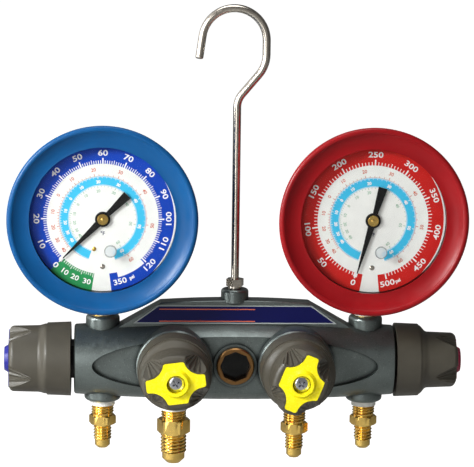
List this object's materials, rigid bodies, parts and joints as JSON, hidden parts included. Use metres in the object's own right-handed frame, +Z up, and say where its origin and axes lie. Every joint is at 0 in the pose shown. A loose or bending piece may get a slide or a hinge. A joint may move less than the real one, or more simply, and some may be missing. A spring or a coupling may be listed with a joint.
{
  "type": "refrigerant manifold gauge set",
  "caption": "Barrel-shaped valve manifold hung from a swivelling wire hook, with twin round gauges in coloured rubber boots, lobed hand knobs, a sight glass and flare hose ports.",
  "frame": {"origin": "inside top of the hook's bow on the stem's axis, where the bar that carries the set bears", "axes": "+Z up along the hook's stem, -Y the way the gauge dials face, +X from the suction side to the discharge side"},
  "size_m": [0.2757, 0.0924, 0.2753],
  "materials": {
    "casting_paint": "satin dark grey paint with a fine speckle on cast aluminium",
    "label_film": "dark navy printed film, satin",
    "brass": "machined brass",
    "sight_glass": "clear glass",
    "black_rubber": "matt black rubber",
    "white_sealing_tape": "white fluoropolymer ring",
    "plated_steel": "zinc plated steel, drawn along its length",
    "dark_steel": "blackened steel",
    "knob_plastic": "warm dark grey moulded plastic, fine matt grain",
    "blue_cap": "blue moulded plastic",
    "red_cap": "crimson moulded plastic",
    "yellow_cap": "bright yellow moulded plastic",
    "bright_screw": "bright plated screw",
    "blue_rubber": "blue moulded rubber, satin",
    "red_rubber": "red moulded rubber, satin",
    "black_case": "black enamelled steel",
    "clear_lens": "clear polycarbonate",
    "dial_print": "white lacquered aluminium with printed scales",
    "black_pointer": "matt black enamel"
  },
  "bodies": {
    "manifold": {"manifold_body": "casting_paint", "label_plate": "label_film", "sight_glass_retainer": "brass", "sight_glass": "sight_glass", "sight_glass_gasket": "black_rubber", "low_side_port": "brass", "vacuum_port": "brass", "charge_port": "brass", "high_side_port": "brass", "port_seals": "white_sealing_tape", "bonnet_seals": "black_rubber", "low_side_bonnet": "dark_steel", "high_side_bonnet": "dark_steel", "vacuum_bonnet": "dark_steel", "charge_bonnet": "dark_steel", "low_gauge_boot": "blue_rubber", "low_gauge_case": "black_case", "low_gauge_lens": "clear_lens", "low_gauge_dial": "dial_print", "low_gauge_socket": "brass", "low_bourdon_tube": "brass", "low_movement_frame": "brass", "high_gauge_boot": "red_rubber", "high_gauge_case": "black_case", "high_gauge_lens": "clear_lens", "high_gauge_dial": "dial_print", "high_gauge_socket": "brass", "high_bourdon_tube": "brass", "high_movement_frame": "brass"},
    "hanger": {"hook": "plated_steel", "hook_nut": "plated_steel", "hook_retainer_nut": "plated_steel"},
    "low_side_valve": {"low_side_piston": "brass"},
    "low_side_handle": {"low_side_stem": "plated_steel", "low_side_knob": "knob_plastic", "low_side_cap": "blue_cap", "low_side_screw": "bright_screw"},
    "high_side_valve": {"high_side_piston": "brass"},
    "high_side_handle": {"high_side_stem": "plated_steel", "high_side_knob": "knob_plastic", "high_side_cap": "red_cap", "high_side_screw": "bright_screw"},
    "vacuum_valve": {"vacuum_piston": "brass"},
    "vacuum_handle": {"vacuum_stem": "plated_steel", "vacuum_knob": "knob_plastic", "vacuum_cap": "yellow_cap", "vacuum_screw": "bright_screw"},
    "charge_valve": {"charge_piston": "brass"},
    "charge_handle": {"charge_stem": "plated_steel", "charge_knob": "knob_plastic", "charge_cap": "yellow_cap", "charge_screw": "bright_screw"},
    "low_hand": {"low_pointer": "black_pointer", "low_pointer_arbor": "brass"},
    "low_sector": {"low_sector_gear": "brass"},
    "low_linkage": {"low_link": "brass"},
    "high_hand": {"high_pointer": "black_pointer", "high_pointer_arbor": "brass"},
    "high_sector": {"high_sector_gear": "brass"},
    "high_linkage": {"high_link": "brass"}
  },
  "joints": [
    {"name": "hook_swivel", "type": "hinge", "parent": "manifold", "child": "hanger", "pos_m": [0, 0, 0], "axis": [0, 0, 1], "continuous": true},
    {"name": "low_side_stem_travel", "type": "slide", "parent": "manifold", "child": "low_side_valve", "axis": [-1, 0, 0], "range_m": [-0.0011, 0.00144]},
    {"name": "low_side_knob_turn", "type": "hinge", "parent": "low_side_valve", "child": "low_side_handle", "pos_m": [-0.0963, 0, -0.2096], "axis": [-1, 0, 0], "range_deg": [-311.8, 408.2]},
    {"name": "high_side_stem_travel", "type": "slide", "parent": "manifold", "child": "high_side_valve", "axis": [1, 0, 0], "range_m": [0, 0.00254]},
    {"name": "high_side_knob_turn", "type": "hinge", "parent": "high_side_valve", "child": "high_side_handle", "pos_m": [0.0963, 0, -0.2096], "axis": [1, 0, 0], "range_deg": [0, 720]},
    {"name": "vacuum_stem_travel", "type": "slide", "parent": "manifold", "child": "vacuum_valve", "axis": [0, -1, 0], "range_m": [-0.0006, 0.00194]},
    {"name": "vacuum_knob_turn", "type": "hinge", "parent": "vacuum_valve", "child": "vacuum_handle", "pos_m": [-0.0364, -0.0265, -0.2096], "axis": [0, -1, 0], "range_deg": [-170.1, 549.9]},
    {"name": "charge_stem_travel", "type": "slide", "parent": "manifold", "child": "charge_valve", "axis": [0, -1, 0], "range_m": [-0.0006, 0.00194]},
    {"name": "charge_knob_turn", "type": "hinge", "parent": "charge_valve", "child": "charge_handle", "pos_m": [0.0364, -0.0265, -0.2096], "axis": [0, -1, 0], "range_deg": [-170.1, 549.9]},
    {"name": "low_pointer_turn", "type": "hinge", "parent": "manifold", "child": "low_hand", "pos_m": [-0.0793, 0, -0.1191], "axis": [0, 1, 0], "range_deg": [-33, 302], "stiffness_Nm_per_rad": 0.002},
    {"name": "low_sector_turn", "type": "hinge", "parent": "manifold", "child": "low_sector", "pos_m": [-0.0793, 0, -0.1401], "axis": [0, 1, 0], "range_deg": [-33.66, 3.77]},
    {"name": "low_link_turn", "type": "hinge", "parent": "low_sector", "child": "low_linkage", "pos_m": [-0.07241, 0, -0.14132], "axis": [0, 1, 0], "range_deg": [-3.77, 33.66]},
    {"name": "high_pointer_turn", "type": "hinge", "parent": "manifold", "child": "high_hand", "pos_m": [0.0793, 0, -0.1191], "axis": [0, 1, 0], "range_deg": [0, 333], "stiffness_Nm_per_rad": 0.002},
    {"name": "high_sector_turn", "type": "hinge", "parent": "manifold", "child": "high_sector", "pos_m": [0.0793, 0, -0.1401], "axis": [0, 1, 0], "range_deg": [-37.1, 0.1]},
    {"name": "high_link_turn", "type": "hinge", "parent": "high_sector", "child": "high_linkage", "pos_m": [0.08619, 0, -0.14132], "axis": [0, 1, 0], "range_deg": [-0.1, 37.1]}
  ],
  "couplings": [
    {"joint": "low_side_stem_travel", "follows": "low_side_knob_turn", "m_per_rad": 0.00020213},
    {"joint": "high_side_stem_travel", "follows": "high_side_knob_turn", "m_per_rad": 0.00020213},
    {"joint": "vacuum_stem_travel", "follows": "vacuum_knob_turn", "m_per_rad": 0.00020213},
    {"joint": "charge_stem_travel", "follows": "charge_knob_turn", "m_per_rad": 0.00020213},
    {"joint": "low_sector_turn", "follows": "low_pointer_turn", "ratio": -0.11111},
    {"joint": "low_link_turn", "follows": "low_pointer_turn", "ratio": 0.11111},
    {"joint": "high_sector_turn", "follows": "high_pointer_turn", "ratio": -0.11111},
    {"joint": "high_link_turn", "follows": "high_pointer_turn", "ratio": 0.11111}
  ]
}
